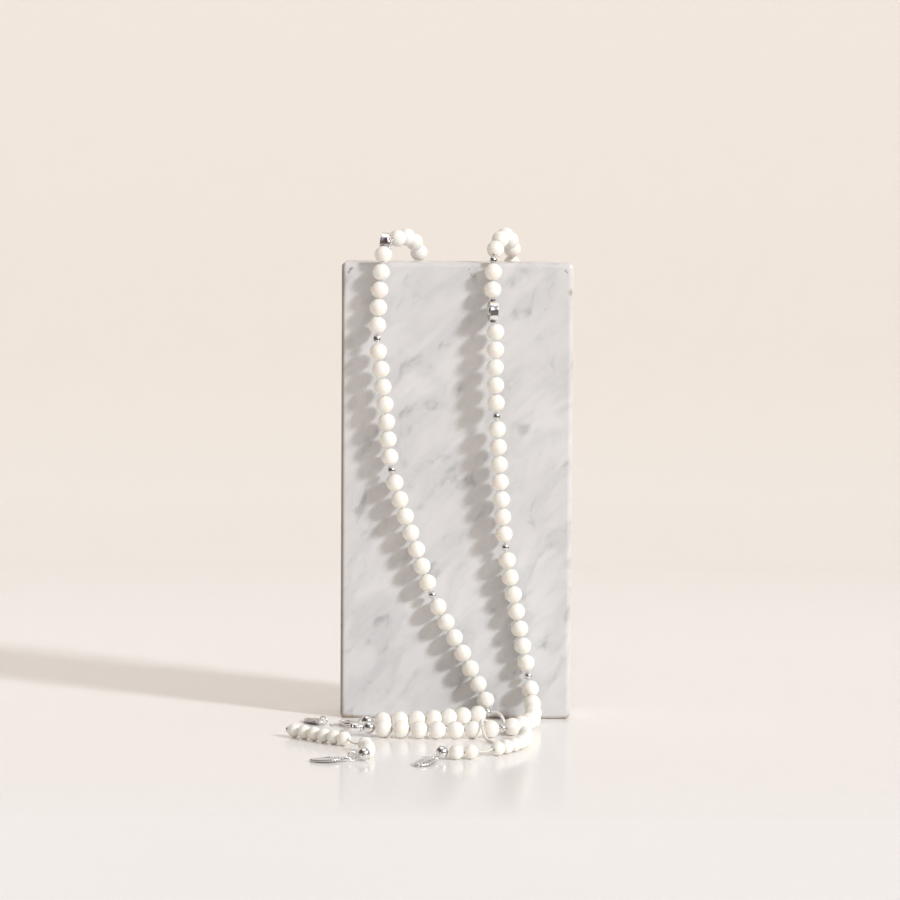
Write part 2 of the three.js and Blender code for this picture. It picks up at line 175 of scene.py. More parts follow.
def faces_between(rings, count, closed=False):
    """Quads that join each ring of that many points to the next one, and the last to the first
    where the shape closes on itself."""
    faces = []
    for j in range(rings if closed else rings - 1):
        low, high = j * count, (j + 1) % rings * count
        faces += [
            (low + i, low + (i + 1) % count, high + (i + 1) % count, high + i)
            for i in range(count)
        ]
    return faces


def lathe(profile, sides, closed=True):
    """A profile of (radius, height) pairs turned about Z. An open profile ends on the axis."""
    angles = circle(sides)
    rings = [
        np.column_stack([r * np.cos(angles), r * np.sin(angles), np.full(sides, h)])
        for r, h in profile
    ]
    return shape(np.vstack(rings), faces_between(len(rings), sides, closed))


def between(a, b, start, end, at):
    """The point on the line that passes a at the start and b at the end."""
    return a + (b - a) * (at - start) / (end - start)


def smooth_route(points, spacing):
    """A centripetal Catmull-Rom curve through the points, cut into steps of about that spacing."""
    points = [np.asarray(p, float) for p in points]
    points = [2 * points[0] - points[1], *points, 2 * points[-1] - points[-2]]
    route = [points[1]]
    for p0, p1, p2, p3 in zip(points, points[1:], points[2:], points[3:]):
        knots = np.cumsum([0] + [
            math.sqrt(norm(b - a)) for a, b in ((p0, p1), (p1, p2), (p2, p3))
        ])
        steps = max(2, math.ceil(norm(p2 - p1) / spacing))
        for t in np.linspace(knots[1], knots[2], steps + 1)[1:]:
            a1 = between(p0, p1, knots[0], knots[1], t)
            a2 = between(p1, p2, knots[1], knots[2], t)
            a3 = between(p2, p3, knots[2], knots[3], t)
            b1 = between(a1, a2, knots[0], knots[2], t)
            b2 = between(a2, a3, knots[1], knots[3], t)
            route.append(between(b1, b2, knots[1], knots[2], t))
    return np.array(route)


def directions_along(route):
    ahead = np.vstack([route[1:], route[-1]])
    behind = np.vstack([route[0], route[:-1]])
    return np.array([unit(d) for d in ahead - behind])


def travelled_along(route):
    """The length of the route up to each of its points."""
    return np.concatenate([[0], np.cumsum(norm(np.diff(route, axis=0), axis=1))])


def tube(route, radii, angles, turns=None, round_ends=True):
    """A tube along a route whose section has these radii at these angles. The section turns by
    the given angle at each point of the route."""
    directions = directions_along(route)
    side = unit(np.cross(directions[0], ASKEW))
    rings = []
    for i, (centre, direction) in enumerate(zip(route, directions)):
        side = unit(side - direction * np.dot(side, direction))
        other = np.cross(direction, side)
        turned = angles + (0 if turns is None else turns[i])
        ring = np.outer(np.cos(turned), side) + np.outer(np.sin(turned), other)
        rings.append(centre + ring * radii[:, None])
    if round_ends:
        for end, step in ((0, -1), (-1, 1)):
            centre, direction = route[end], directions[end] * step
            bulge = direction * radii.max() * END_BULGE
            cap = centre + (rings[end] - centre) * END_WIDTH + bulge
            rings.insert(0 if step < 0 else len(rings), cap)
    count = len(angles)
    ends = [range(count), range((len(rings) - 1) * count, len(rings) * count)]
    return shape(np.vstack(rings), faces_between(len(rings), count) + ends)


def round_tube(route, radius, sides, round_ends=True):
    return tube(route, np.full(sides, radius), circle(sides), round_ends=round_ends)


# ---- material nodes ----
def feed(tree, socket, value):
    """Sets an input to a value, or links another node's output to it."""
    if isinstance(value, bpy.types.NodeSocket):
        tree.links.new(value, socket)
    else:
        socket.default_value = value


def add_node(tree, kind, settings=None, **inputs):
    """A node of that kind. An input is a value, or another node's output socket."""
    node = tree.nodes.new(kind)
    for key, value in (settings or {}).items():
        setattr(node, key, value)
    for key, value in inputs.items():
        feed(tree, node.inputs[key.replace("_", " ")], value)
    return node


def blank_material(name):
    material = bpy.data.materials.new(name)
    material.use_nodes = True
    material.node_tree.nodes.clear()
    return material, material.node_tree


def finish_material(tree, **inputs):
    shader = add_node(tree, "ShaderNodeBsdfPrincipled", **inputs)
    output = add_node(tree, "ShaderNodeOutputMaterial")
    tree.links.new(shader.outputs[0], output.inputs["Surface"])


# Each of these adds its nodes to the tree that its first socket belongs to.
def noise(at, scale, detail, roughness=0.5, distortion=0.0):
    return add_node(
        at.id_data, "ShaderNodeTexNoise", Vector=at, Scale=scale, Detail=detail,
        Roughness=roughness, Distortion=distortion,
    ).outputs["Fac"]


def mapped(value, low, high, to_low=0.0, to_high=1.0, smooth=False):
    """The value's range from low to high mapped to another range, and held at its ends."""
    return add_node(
        value.id_data, "ShaderNodeMapRange",
        {"interpolation_type": "SMOOTHSTEP" if smooth else "LINEAR"},
        Value=value, From_Min=low, From_Max=high, To_Min=to_low, To_Max=to_high,
    ).outputs["Result"]


def mixed(factor, first, second):
    """A mix of two colours, each a tuple or an output socket."""
    tree = factor.id_data
    node = add_node(tree, "ShaderNodeMix", {"data_type": "RGBA"})
    feed(tree, node.inputs[0], factor)
    for socket, colour in ((node.inputs[6], first), (node.inputs[7], second)):
        feed(tree, socket, (*colour, 1) if isinstance(colour, tuple) else colour)
    return node.outputs[2]


def calculated(operation, first, second):
    tree = first.id_data
    node = add_node(tree, "ShaderNodeMath", {"operation": operation})
    feed(tree, node.inputs[0], first)
    feed(tree, node.inputs[1], second)
    return node.outputs[0]


def product(first, *others):
    for other in others:
        first = calculated("MULTIPLY", first, other)
    return first


def bumped(height, distance, strength):
    return add_node(
        height.id_data, "ShaderNodeBump", Height=height, Distance=distance, Strength=strength
    ).outputs["Normal"]


def attribute(tree, name, output):
    return add_node(
        tree, "ShaderNodeAttribute", {"attribute_name": name, "attribute_type": "GEOMETRY"}
    ).outputs[output]


def object_place(tree):
    return add_node(tree, "ShaderNodeTexCoord").outputs["Object"]


def parts_of(vector):
    """The outputs X, Y and Z of a vector."""
    return add_node(vector.id_data, "ShaderNodeSeparateXYZ", Vector=vector).outputs


def distance_from(at, point):
    node = add_node(at.id_data, "ShaderNodeVectorMath", {"operation": "DISTANCE"}, Vector=at)
    node.inputs[1].default_value = point
    return node.outputs["Value"]


def stretched(at, turn, lengths):
    """Coordinates along axes turned by Euler angles in degrees, in units of a length for each axis."""
    return add_node(
        at.id_data, "ShaderNodeMapping", {"vector_type": "TEXTURE"}, Vector=at,
        Rotation=[math.radians(angle) for angle in turn], Scale=lengths,
    ).outputs[0]


# ---- bone ----
BONE_WARM = (0.93, 0.915, 0.875)
BONE_PALE = (0.95, 0.94, 0.91)
BONE_CLOUD = (0.85, 0.79, 0.69)
BONE_GRAIN = (0.78, 0.71, 0.58)
BONE_PORE = (0.62, 0.53, 0.40)
# Lengths of the grain and the pores in millimetres, the last one along the bead's hole.
GRAIN_LENGTHS = (0.45, 0.45, 3.6)
PORE_LENGTHS = (0.2, 0.2, 0.8)


def make_bone():
    """Bleached bone: warm white, each bead a little different, with faint grain along its hole."""
    material, tree = blank_material("bone")
    at = attribute(tree, "bead_place", "Vector")
    tone = attribute(tree, "tone", "Fac")
    clouds = noise(at, 0.22, detail=3)
    grain = noise(stretched(at, (0, 0, 0), GRAIN_LENGTHS), 1.0, detail=6, roughness=0.6)
    pores = noise(stretched(at, (0, 0, 0), PORE_LENGTHS), 1.0, detail=2)
    colour = mixed(tone, BONE_WARM, BONE_PALE)
    colour = mixed(mapped(clouds, 0.35, 0.7, 0, 0.5), colour, BONE_CLOUD)
    colour = mixed(mapped(grain, 0.56, 0.74, 0, 0.35), colour, BONE_GRAIN)
    colour = mixed(mapped(pores, 0.69, 0.76, 0, 0.4), colour, BONE_PORE)
    height = calculated("SUBTRACT", grain, mapped(pores, 0.66, 0.78))
    finish_material(
        tree, Base_Color=colour, Roughness=mapped(clouds, 0.3, 0.7, 0.46, 0.6),
        Normal=bumped(height, 0.02 * MM, 0.5), Subsurface_Weight=0.5,
        Subsurface_Radius=(1.0, 0.8, 0.58), Subsurface_Scale=2.4 * MM, IOR=1.46,
    )
    return material


# ---- marble ----
MARBLE_PALE = (0.765, 0.762, 0.772)
MARBLE_CLOUD = (0.65, 0.653, 0.672)
MARBLE_DRIFT = (0.675, 0.67, 0.675)
MARBLE_BLOTCH = (0.42, 0.425, 0.44)
MARBLE_STREAK = (0.47, 0.47, 0.48)
MARBLE_GRAIN = (0.5, 0.5, 0.5)
MARBLE_SPECK = (0.30, 0.25, 0.21)
WORN_EDGE = (0.62, 0.53, 0.44)
# Dark colour for the small marks on the face, and for the painted shade on the left front edge.
DIRT_AND_SHADE = (0.24, 0.19, 0.15)
CHIP_DIRT = (0.20, 0.15, 0.115)
FOOT_STAIN = (0.42, 0.31, 0.21)
TOP_STAIN = (0.50, 0.35, 0.29)

# Patterns in the stone: the turn of their axes, in degrees, and their lengths along them, in metres.
DRIFT = ((0, 40, 0), (0.04, 0.04, 0.07))
CLOUDS = ((0, 40, 0), (0.012, 0.013, 0.024))
BLOTCHES = ((0, 36, 20), (0.0075, 0.008, 0.014))
STREAKS = ((0, 46, 0), (0.0035, 0.004, 0.02))

# Small dark marks on the front face, in mm: right of its middle, below its top, and reach.
MARKS = [
    (5.3, 3.0, 0.8), (5.6, 4.2, 0.7), (6.2, 5.4, 0.8), (7.4, 5.9, 0.9),
]
MARK_RAGGED = 0.7 * MM


def pattern_noise(at, pattern, detail, distortion=0.0):
    return noise(stretched(at, *pattern), 1.0, detail, distortion=distortion)


def stained(tree, at, colour, drift, blotches):
    """The marble's colour with its stains and painted shade: painted shade along the rounded front
    edge on the left, a brown foot, worn edges, and a rusty back of the top."""
    x, y, z = parts_of(at)
    edge = attribute(tree, "edge", "Fac")
    at_edge = mapped(edge, 0.05, 0.6)
    worn = product(edge, mapped(blotches, 0.42, 0.66, 0.1, 0.5))
    colour = mixed(worn, colour, WORN_EDGE)
    left, low, back, high = block_low[0], block_low[2], block_high[1], block_high[2]
    # Painted shade: the rounded front edge on the left is darkened as if it lay in shadow.
    by_left = mapped(x, left + 2.2 * MM, left + 0.4 * MM)
    in_front = mapped(y, 0, -5 * MM)
    colour = mixed(product(by_left, at_edge, in_front, 0.8), colour, DIRT_AND_SHADE)
    by_foot = mapped(z, low + 4 * MM, low + 1 * MM)
    patchy = mapped(blotches, 0.36, 0.6)
    colour = mixed(product(by_foot, at_edge, patchy, 0.7), colour, FOOT_STAIN)
    by_back = mapped(y, back - 16 * MM, back - 5 * MM)
    by_top = mapped(z, high - 3 * MM, high - 1 * MM)
    rusty = mapped(drift, 0.46, 0.56, 0, 0.8)
    return mixed(product(by_back, by_top, rusty), colour, TOP_STAIN)


def marked(tree, at, colour, grain):
    """The marble's colour with the small dark marks on its face and the dirt in its chips."""
    for aside, below, reach in MARKS:
        away = distance_from(at, (aside * MM, block_low[1], block_high[2] - below * MM))
        ragged = calculated("ADD", away, mapped(grain, 0.35, 0.65, 0, MARK_RAGGED))
        colour = mixed(mapped(ragged, reach * MM, 0.5 * reach * MM, 0, 0.8), colour, DIRT_AND_SHADE)
    chips = attribute(tree, "recess", "Fac")
    return mixed(mapped(chips, 0.1, 0.7, 0, 0.7), colour, CHIP_DIRT)


def make_marble():
    """Polished white marble: soft grey clouds, blotches and streaks that rise to the right."""
    material, tree = blank_material("marble")
    at = object_place(tree)
    drift = pattern_noise(at, DRIFT, detail=2)
    clouds = pattern_noise(at, CLOUDS, detail=3, distortion=0.5)
    blotches = pattern_noise(at, BLOTCHES, detail=3, distortion=0.5)
    streaks = pattern_noise(at, STREAKS, detail=3, distortion=0.3)
    grain = noise(at, 1100, detail=2)
    specks = noise(at, 260, detail=1)
    blotchy = mapped(blotches, 0.53, 0.74, smooth=True)
    cloudy = mapped(clouds, 0.44, 0.62, smooth=True)
    layers = (
        (mapped(drift, 0.42, 0.62, 0, 0.5, smooth=True), MARBLE_DRIFT),
        (product(blotchy, cloudy, 0.8), MARBLE_BLOTCH),
        (mapped(streaks, 0.5, 0.74, 0, 0.15, smooth=True), MARBLE_STREAK),
        (mapped(grain, 0.3, 0.7, 0, 0.05), MARBLE_GRAIN),
        (mapped(specks, 0.80, 0.84, 0, 0.5), MARBLE_SPECK),
    )
    colour = mixed(mapped(clouds, 0.38, 0.66, smooth=True), MARBLE_PALE, MARBLE_CLOUD)
    for amount, layer in layers:
        colour = mixed(amount, colour, layer)
    colour = stained(tree, at, colour, drift, blotches)
    colour = marked(tree, at, colour, grain)
    finish_material(
        tree, Base_Color=colour, Roughness=mapped(clouds, 0.3, 0.7, 0.18, 0.3),
        Normal=bumped(grain, 0.01 * MM, 0.4), Subsurface_Weight=0.06,
        Subsurface_Radius=(1.0, 0.9, 0.8), Subsurface_Scale=2 * MM, IOR=1.5,
    )
    return material


# ---- silver and cotton ----
SILVER = (0.85, 0.83, 0.81)
LEAF_SILVER = (0.94, 0.91, 0.895)
SILVER_SMUDGE = (0.70, 0.68, 0.66)
SILVER_TARNISH = (0.07, 0.058, 0.05)
SCRATCH_TURN = (20, 35, 10)
SCRATCH_LENGTHS = (1.6 * MM, 0.07 * MM, 0.3 * MM)
COTTON_SHADE = (0.84, 0.82, 0.775)
COTTON_PALE = (0.95, 0.94, 0.915)
COTTON_PATCH = (0.84, 0.81, 0.74)
COTTON_DEEP = (0.56, 0.51, 0.43)


def make_silver(name, roughness, tint, tarnish):
    """Polished silver with fine scratches. Tarnish is how dark it is where its relief lies deep."""
    material, tree = blank_material(name)
    at = object_place(tree)
    deep = attribute(tree, "recess", "Fac")
    smudges = noise(at, 700, detail=3)
    scratches = noise(stretched(at, SCRATCH_TURN, SCRATCH_LENGTHS), 1.0, detail=3)
    colour = mixed(mapped(smudges, 0.35, 0.7, 0, 0.3), tint, SILVER_SMUDGE)
    colour = mixed(mapped(deep, 0.1, 0.75, 0, tarnish), colour, SILVER_TARNISH)
    finish_material(
        tree, Base_Color=colour, Metallic=1.0,
        Roughness=mapped(smudges, 0.3, 0.7, roughness, roughness + 0.1),
        Normal=bumped(scratches, 0.004 * MM, 0.5),
    )
    return material


def make_cotton():
    """White cotton with fine fibres, shaded between its plies."""
    material, tree = blank_material("cotton")
    at = object_place(tree)
    fibres = noise(at, 5200, detail=4, roughness=0.6)
    patches = noise(at, 500, detail=2)
    deep = attribute(tree, "recess", "Fac")
    colour = mixed(mapped(fibres, 0.3, 0.7), COTTON_SHADE, COTTON_PALE)
    colour = mixed(mapped(patches, 0.4, 0.7, 0, 0.4), colour, COTTON_PATCH)
    colour = mixed(mapped(deep, 0.0, 1.0, 0, 0.4), colour, COTTON_DEEP)
    finish_material(
        tree, Base_Color=colour, Roughness=0.85, Sheen_Weight=0.25,
        Normal=bumped(fibres, 0.03 * MM, 0.7),
    )
    return material


bone = make_bone()
marble = make_marble()
silver = make_silver("silver", 0.11, SILVER, tarnish=0.0)
leaf_silver = make_silver("leaf_silver", 0.08, LEAF_SILVER, tarnish=0.7)
cotton = make_cotton()


# ---- the tie cord ----
TIE_DIAMETER = 1.5 * MM
TIE_PITCH = 3.2 * MM
TIE_STEP = 0.22 * MM
PLIES = 3
PLY_SIDES = 18
# How far a ply's middle lies from its cord's, as a share of the ply's radius.
PLY_OFFSET = 0.8
# Columns: x, distance in front of the block's front face, height, in millimetres.
TIE_ROUTE = [
    (16.8, 8.6, 4.5), (18.3, 9.3, 4.5), (19.7, 10.6, 4.2), (20.9, 12.8, 3.4),
    (21.8, 16, 2.2), (22.4, 20.5, 1.2), (22.7, 26, 0.84), (22.7, 32, 0.82),
    (22.4, 37, 0.82), (21.9, 41, 1), (21, 44.2, 1.9), (19.8, 46.7, 3.3),
    (18.1, 48.3, 4.5), (16.1, 49.3, 5.5), (14.2, 50.4, 6.5), (12.6, 52.5, 7.4),
    (11.9, 55.6, 7.7), (11.9, 58.6, 7), (12.2, 61, 5), (12.9, 63.3, 2.7),
    (13.9, 65.8, 1.25), (15.4, 69, 0.84), (17, 71.6, 0.82),
]


def plied_tube(route, diameter, pitch):
    """A cord of three plies laid round each other: its section has three lobes, and it turns."""
    angles = circle(PLY_SIDES)
    ply = diameter / 2 / (1 + PLY_OFFSET)
    offset = PLY_OFFSET * ply
    lobe = (angles + math.pi / PLIES) % (FULL_TURN / PLIES) - math.pi / PLIES
    radii = offset * np.cos(lobe) + np.sqrt(ply ** 2 - (offset * np.sin(lobe)) ** 2)
    part = tube(route, radii, angles, turns=travelled_along(route) / pitch * FULL_TURN)
    depth = (radii.max() - radii) / (radii.max() - radii.min())
    return part._replace(recess=np.tile(depth, len(part.vertices) // PLY_SIDES))


def make_tie_cord():
    points = [place(*row) for row in TIE_ROUTE]
    route = smooth_route(points, TIE_STEP)
    cord = plied_tube(route, TIE_DIAMETER, TIE_PITCH)
    piece = add_piece("tie_cord_fine", cord, cotton, ["tie_cord"])


make_tie_cord()


# ---- what the CAD says about places ----
def points_of(node):
    corners = np.array([vertex.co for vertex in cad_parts[node].data.vertices])
    return np.unique(corners.round(6), axis=0)


def middle_of(node):
    low, high = box_of(node)
    return (low + high) / 2


def height_of(node):
    low, high = box_of(node)
    return high[2] - low[2]


def main_axes(points):
    """The directions in which the points spread most, less and least."""
    return np.linalg.svd(points - points.mean(axis=0), full_matrices=False)[2]


# Lying beads are as high as they are wide.
BEAD_RADIUS = height_of("beads_left_5") / 2
SMALL_BEAD_RADIUS = height_of("counter_left_beads_1") / 2
# A CAD bead has this many corners round its mouth.
MOUTH_CORNERS = 8
# Shares of a radius: how far from the ball a corner may lie in each round of a fit, how far a
# bead's centre lies from its mouth, and how far its own corners reach from its centre.
FIT_ROUNDS = (0.3, 0.12, 0.05, 0.03, 0.03)
MOUTH_DISTANCE = 0.95
BEAD_REACH = 1.04
# How far a ring's corners lie from each other at most, as a share of the tube's diameter.
RING_REACH = 1.15


def fitted_centre(points, guess, radius):
    """The centre of the ball of that radius that the points near the guess lie on, and how many."""
    for share in FIT_ROUNDS:
        away = points - guess
        distances = norm(away, axis=1)
        own = abs(distances - radius) < share * radius
        outward = away[own] / distances[own, None]
        guess = guess + np.linalg.lstsq(outward, distances[own] - radius, rcond=None)[0]
    return guess, own.sum()


def first_centre(points, beside, radius):
    """The centre of the bead whose mouth is nearest to a point."""
    distances = norm(points - beside, axis=1)
    mouth = points[np.argsort(distances)[:MOUTH_CORNERS]]
    ahead = mouth.mean(axis=0) - beside
    straight = main_axes(mouth)[2]
    headings = (unit(ahead), straight * math.copysign(1, np.dot(straight, ahead)))
    guesses = [mouth.mean(axis=0) + heading * radius * MOUTH_DISTANCE for heading in headings]
    return max((fitted_centre(points, guess, radius) for guess in guesses), key=lambda fit: fit[1])[0]


def run_centres(node, beside, radius):
    """Centres of a run's beads, one after another from the piece that it starts beside."""
    points = points_of(node)
    centres = [first_centre(points, beside, radius)]
    while True:
        points = points[norm(points - centres[-1], axis=1) > BEAD_REACH * radius]
        if len(points) < MOUTH_CORNERS:
            return centres
        centres.append(first_centre(points, centres[-1], radius))


def ring_centres(node, diameter, beside):
    """Centres of a tube's rings of corners, in order from the end that is nearer to a point."""
    points = points_of(node)
    centres = []
    while len(points):
        near = norm(points - points[0], axis=1) < RING_REACH * diameter
        centres.append(points[near].mean(axis=0))
        points = points[~near]
    ordered = []
    at = beside
    while centres:
        nearest = int(np.argmin([norm(centre - at) for centre in centres]))
        at = centres.pop(nearest)
        ordered.append(at)
    return ordered


# ---- strings ----
THREAD_DIAMETER = 1.0 * MM


def strand(side, first, runs, last):
    """Names of a strand's nodes in order: runs of beads with a silver ball after each."""
    names = [first]
    for i in range(1, runs + 1):
        names += [f"beads_{side}_{i}", f"silver_ball_{side}_{i}"]
    names[-1] = last
    return names


STRANDS = [
    strand("left", "coin_left", 5, "end_ball_left"),
    strand("right", "coin_right", 5, "end_ball_right"),
    strand("back", "coin_right", 6, "coin_left"),
]
COUNTERS = [
    ["counter_left_ball", "counter_left_beads_2", "counter_left_thread", "counter_left_beads_1",
     "counter_left_cap"],
    ["counter_right_ball", "counter_right_beads_2", "counter_right_thread", "counter_right_beads_1"],
]

Stop = namedtuple("Stop", "node centre axis")


def stops_along(names, bead_radius):
    """Every piece on a string in order, each with its centre and the thread's direction there."""
    found = []
    for name in names:
        at = found[-1][1] if found else middle_of(name)
        if "beads" in name:
            found += [(name, centre) for centre in run_centres(name, at, bead_radius)]
        elif "thread" in name:
            found += [(name, centre) for centre in ring_centres(name, THREAD_DIAMETER, at)]
        else:
            found.append((name, middle_of(name)))
    axes = directions_along(np.array([centre for _, centre in found]))
    return [Stop(name, centre, axis) for (name, centre), axis in zip(found, axes)]


def axes_about(axis, spin=0.0):
    """A turning matrix whose Z is the axis, spun about it."""
    helper = np.array([1.0, 0, 0]) if abs(axis[0]) < 0.8 else np.array([0, 1.0, 0])
    x = unit(helper - axis * np.dot(helper, axis))
    y = np.cross(axis, x)
    turned = math.cos(spin) * x + math.sin(spin) * y
    return np.column_stack([turned, np.cross(axis, turned), axis])


# ---- beads and balls ----
BEAD_HOLE = 0.55 * MM
BEAD_RIM = 0.22 * MM
SILVER_HOLE = 0.5 * MM
BALL_RIM = 0.12 * MM
# How deep a mouth's edge is dished, as a share of the rim's width.
RIM_DEPTH = 0.8
# A bead's width and length as shares of the CAD bead's, from the smallest to the largest, and how
# far it leans from its thread.
BEAD_WIDTHS = (0.985, 1.0)
BEAD_LENGTHS = (0.975, 1.0)
BEAD_LEAN = 0.02
# Every bead takes its grain from its own place in the noise, up to this far away, in millimetres.
GRAIN_SPREAD = 400


def drilled_ball(radius, hole, sides, bands, rim):
    """A ball with a hole along Z. The rim is how far the mouth's edge is dished."""
    mouth = math.asin((hole + rim) / radius)
    arc = np.linspace(mouth, math.pi - mouth, bands)
    outer = [(radius * math.sin(a), -radius * math.cos(a)) for a in arc]
    inner = radius * math.cos(mouth) - rim * RIM_DEPTH
    return lathe([(hole, -inner), *outer, (hole, inner)], sides)


def make_bead_run(node, stops, radius):
    base = drilled_ball(radius, BEAD_HOLE, sides=36, bands=20, rim=BEAD_RIM)
    parts, tones, places = [], [], []
    for stop in stops:
        width = rng.uniform(*BEAD_WIDTHS)
        length = rng.uniform(*BEAD_LENGTHS)
        lean = unit(stop.axis + rng.normal(0, BEAD_LEAN, 3))
        turn = axes_about(lean, rng.uniform(0, FULL_TURN))
        sized = base._replace(vertices=base.vertices * (width, width, width * length))
        parts.append(moved(sized, turn, stop.centre))
        tones.append(np.full(len(base.vertices), rng.uniform(0, 1)))
        places.append(base.vertices / MM + rng.uniform(-GRAIN_SPREAD, GRAIN_SPREAD, 3))
    attributes = {"tone": np.concatenate(tones), "bead_place": np.vstack(places)}
    add_piece(f"{node}_fine", joined(parts), bone, [node], attributes)


def make_ball(node, stop):
    radius = max(norm(points_of(node) - stop.centre, axis=1))
    ball = drilled_ball(radius, SILVER_HOLE, sides=32, bands=18, rim=BALL_RIM)
    add_piece(f"{node}_fine", moved(ball, axes_about(stop.axis), stop.centre), silver,
              [node])


# ---- coins ----
COIN_BOSS_RADIUS = 2.3 * MM
COIN_BOSS_STAND = 0.8 * MM
COIN_SINK = 0.45 * MM
COIN_ROUNDING = 0.35 * MM
COIN_WAIST = 0.12 * MM
COIN_WAIST_FROM_FACE = 0.9 * MM
# Shares of the coin's radius: where the sunk ring ends, where the slope up to the rim passes just
# below the rim and where it ends, how far in metal darkens, and where the studs stand.
SUNK_END = 0.76
SLOPE_MIDDLE = 0.80
SLOPE_END = 0.84
DARK_END = 0.82
STUD_RING = 0.63
STUDS = 18
STUD_RADIUS = 0.4 * MM

Coin = namedtuple("Coin", "centre thread face wide radius boss reach")


def coin_of(node):
    """A coin's middle, its directions along the thread, out of its face and across both, and how
    far its rim, its boss and its collars reach from the middle."""
    centre = middle_of(node)
    away = points_of(node) - centre
    distances = norm(away, axis=1)
    ends = away[distances > distances.max() - 0.02 * MM]
    thread = unit(ends[ends @ ends[0] > 0].mean(axis=0))
    across = away - np.outer(away @ thread, thread)
    face = main_axes(across)[1]
    wide = np.cross(thread, face)
    reaches = [(away @ direction).max() for direction in (wide, face, thread)]
    return Coin(centre, thread, face, wide, *reaches)


def coin_disc(radius, boss):
    """The disc about Z, with a raised rim, a sunk ring and a domed middle on both faces."""
    half = boss - COIN_BOSS_STAND
    sunk = half - COIN_SINK
    dome = [
        (COIN_BOSS_RADIUS * math.sin(a), sunk + (boss - sunk) * math.cos(a))
        for a in np.linspace(0, math.pi / 2, 9)
    ]
    corner = [
        (radius - COIN_ROUNDING + COIN_ROUNDING * math.sin(a),
         half - COIN_ROUNDING + COIN_ROUNDING * math.cos(a))
        for a in np.linspace(0, math.pi / 2, 5)
    ]
    slope = [
        (SUNK_END * radius, sunk), (SLOPE_MIDDLE * radius, half - 0.1 * MM), (SLOPE_END * radius, half)
    ]
    upper = [*dome, *slope, *corner]
    waist = half - COIN_WAIST_FROM_FACE
    side = [(radius - COIN_WAIST, waist), (radius - COIN_WAIST, -waist)]
    disc = lathe([*upper, *side, *[(r, -h) for r, h in reversed(upper)]], 64, closed=False)
    deep = (half - 0.05 * MM - abs(disc.vertices[:, 2])) / (0.4 * MM)
    inside = np.hypot(disc.vertices[:, 0], disc.vertices[:, 1]) < DARK_END * radius
    return disc._replace(recess=np.where(inside, np.clip(deep, 0, 1), 0)), sunk


def make_coin(node):
    """A thick disc strung through its diameter, with a ring of small studs on each face and a
    collar at each mouth."""
    coin = coin_of(node)
    disc, sunk = coin_disc(coin.radius, coin.boss)
    disc_turn = np.column_stack([coin.thread, coin.wide, np.cross(coin.thread, coin.wide)])
    parts = [moved(disc, disc_turn, coin.centre)]
    arc = np.linspace(0, math.pi, 9)
    ball = [(STUD_RADIUS * math.sin(a), STUD_RADIUS * math.cos(a)) for a in arc]
    stud = lathe(ball, 12, closed=False)
    for angle in circle(STUDS):
        out = STUD_RING * coin.radius * (math.cos(angle) * coin.thread + math.sin(angle) * coin.wide)
        for way in (coin.face, -coin.face):
            parts.append(moved(stud, to=coin.centre + out + way * sunk))
    foot = coin.radius - 1 * MM
    collar = lathe([
        (SILVER_HOLE, foot), (1.5 * MM, foot), (1.5 * MM, coin.reach - 0.2 * MM),
        (1.3 * MM, coin.reach), (0.7 * MM, coin.reach), (SILVER_HOLE, coin.reach - 0.15 * MM),
    ], 24)
    for way in (coin.thread, -coin.thread):
        parts.append(moved(collar, axes_about(way), coin.centre))
    add_piece(f"{node}_fine", joined(parts), leaf_silver, [node])


# ---- barrel, cap and jump rings ----
# Columns: radius, and distance from the middle, as shares of the barrel's. The bore comes first.
BARREL_OUTLINE = [
    (0.22, 0.9), (0.55, 1.0), (0.62, 1.0), (0.72, 0.93), (0.74, 0.86), (0.70, 0.80),
    (0.84, 0.72), (0.97, 0.56), (1.0, 0.42), (0.96, 0.37), (0.96, 0.31), (1.0, 0.26),
]
CAP_HALF = 0.6 * MM
# Half the angle that a jump ring's cut takes, in radians.
RING_CUT = 0.10


def make_barrel():
    """A small turned barrel along X, with a neck and a groove on each side of its middle."""
    low, high = box_of("end_barrel")
    half, _, radius = (high - low) / 2
    side = [(r * radius, h * half) for r, h in BARREL_OUTLINE]
    profile = [*side, (radius, 0), *[(r, -h) for r, h in reversed(side)]]
    part = moved(lathe(profile, 40), axes_about(np.array([-1.0, 0, 0])), (low + high) / 2)
    add_piece("end_barrel_fine", part, leaf_silver, ["end_barrel"])


def make_cap(stop):
    radius = height_of(stop.node) / 2
    profile = [
        (SILVER_HOLE, -CAP_HALF), (0.8 * radius, -CAP_HALF), (radius, -0.5 * CAP_HALF),
        (radius, 0.2 * CAP_HALF), (0.85 * radius, 0.6 * CAP_HALF), (0.7 * radius, CAP_HALF),
        (SILVER_HOLE, CAP_HALF),
    ]
    part = moved(lathe(profile, 28), axes_about(stop.axis), stop.centre)
    add_piece(f"{stop.node}_fine", part, silver, [stop.node])


def make_jump_ring(node, opening):
    """A ring of round wire, cut through at one place. The opening is the cut's angle from the top."""
    points = points_of(node)
    centre = middle_of(node)
    across = main_axes(points)[2]
    up = unit(np.array([0, 0, 1.0]) - across * across[2])
    side = np.cross(up, across)
    outer = np.ptp(points[:, 2]) / 2
    wire = abs((points - centre) @ across).max()
    angles = np.linspace(RING_CUT, FULL_TURN - RING_CUT, 60) + opening
    around = np.outer(np.cos(angles), up) + np.outer(np.sin(angles), side)
    route = centre + (outer - wire) * around
    part = round_tube(route, wire, 12, round_ends=False)
    add_piece(f"{node}_fine", part, silver, [node])


# ---- leaf charms ----
EAR_OUTER = 2 * MM
EAR_HOLE = 1.15 * MM
